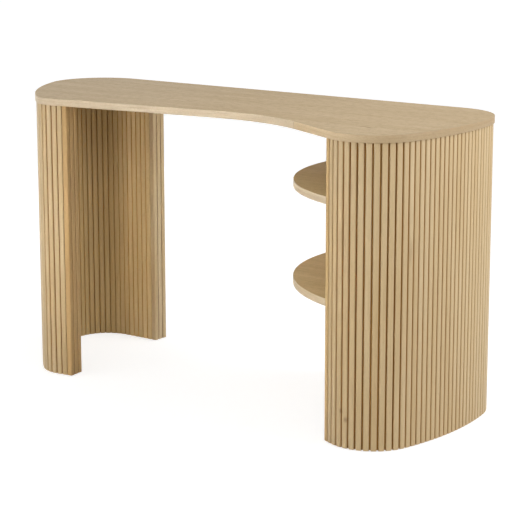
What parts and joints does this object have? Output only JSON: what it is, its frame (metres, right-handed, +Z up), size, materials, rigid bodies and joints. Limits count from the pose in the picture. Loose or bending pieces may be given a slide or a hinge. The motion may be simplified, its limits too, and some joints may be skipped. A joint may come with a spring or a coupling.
{
  "type": "tambour desk",
  "caption": "Kidney-shaped desk with a hollow front, on two U-shaped legs clad with vertical tambour slats; the right leg holds open rounded shelves.",
  "frame": {"origin": "on the floor, under the middle of the desktop's bounding box", "axes": "+Z up, +X along the length towards the leg with the shelves, the user sits on the -Y side"},
  "size_m": [1.4, 0.565, 0.75],
  "materials": {
    "oak_veneer": "matt clear lacquer",
    "core_board": "raw board",
    "oak_edge_band": "matt clear lacquer",
    "oak_slats": "matt clear lacquer",
    "bending_ply": "raw, stained dark in the grooves",
    "oak_shelf": "matt clear lacquer",
    "beech_dowel": "raw",
    "fixing_steel": "zinc plated",
    "brass_insert": "turned",
    "foot_steel": "zinc plated"
  },
  "bodies": {
    "desk": {"bracket_bolts": "fixing_steel", "bracket_screws": "fixing_steel", "desktop_bottom_veneer": "oak_veneer", "desktop_core": "core_board", "desktop_edge_band": "oak_edge_band", "desktop_inserts": "brass_insert", "desktop_top_veneer": "oak_veneer", "foot_inserts": "brass_insert", "left_leg_bottom_rib": "core_board", "left_leg_end_strips": "oak_slats", "left_leg_inner_skin": "bending_ply", "left_leg_inner_slats": "oak_slats", "left_leg_middle_rib": "core_board", "left_leg_outer_skin": "bending_ply", "left_leg_outer_slats": "oak_slats", "left_leg_studs": "core_board", "left_leg_top_rib": "core_board", "leg_brackets": "fixing_steel", "leg_dowels": "beech_dowel", "lower_shelf": "oak_shelf", "lower_shelf_edge_band": "oak_edge_band", "right_leg_bottom_rib": "core_board", "right_leg_end_strips": "oak_slats", "right_leg_inner_skin": "bending_ply", "right_leg_inner_slats": "oak_slats", "right_leg_lower_rib": "core_board", "right_leg_outer_skin": "bending_ply", "right_leg_outer_slats": "oak_slats", "right_leg_studs": "core_board", "right_leg_top_rib": "core_board", "right_leg_upper_rib": "core_board", "shelf_pins": "fixing_steel", "upper_shelf": "oak_shelf", "upper_shelf_edge_band": "oak_edge_band"},
    "left_back_foot_body": {"left_back_foot": "foot_steel"},
    "left_end_foot_body": {"left_end_foot": "foot_steel"},
    "left_front_foot_body": {"left_front_foot": "foot_steel"},
    "right_back_foot_body": {"right_back_foot": "foot_steel"},
    "right_front_foot_body": {"right_front_foot": "foot_steel"},
    "right_inner_foot_body": {"right_inner_foot": "foot_steel"},
    "right_side_foot_body": {"right_side_foot": "foot_steel"}
  },
  "joints": [
    {"name": "left_back_foot_screw", "type": "slide", "parent": "desk", "child": "left_back_foot_body", "axis": [0, 0, -1], "range_m": [0, 0.008]},
    {"name": "left_end_foot_screw", "type": "slide", "parent": "desk", "child": "left_end_foot_body", "axis": [0, 0, -1], "range_m": [0, 0.008]},
    {"name": "left_front_foot_screw", "type": "slide", "parent": "desk", "child": "left_front_foot_body", "axis": [0, 0, -1], "range_m": [0, 0.008]},
    {"name": "right_back_foot_screw", "type": "slide", "parent": "desk", "child": "right_back_foot_body", "axis": [0, 0, -1], "range_m": [0, 0.008]},
    {"name": "right_front_foot_screw", "type": "slide", "parent": "desk", "child": "right_front_foot_body", "axis": [0, 0, -1], "range_m": [0, 0.008]},
    {"name": "right_inner_foot_screw", "type": "slide", "parent": "desk", "child": "right_inner_foot_body", "axis": [0, 0, -1], "range_m": [0, 0.008]},
    {"name": "right_side_foot_screw", "type": "slide", "parent": "desk", "child": "right_side_foot_body", "axis": [0, 0, -1], "range_m": [0, 0.008]}
  ]
}
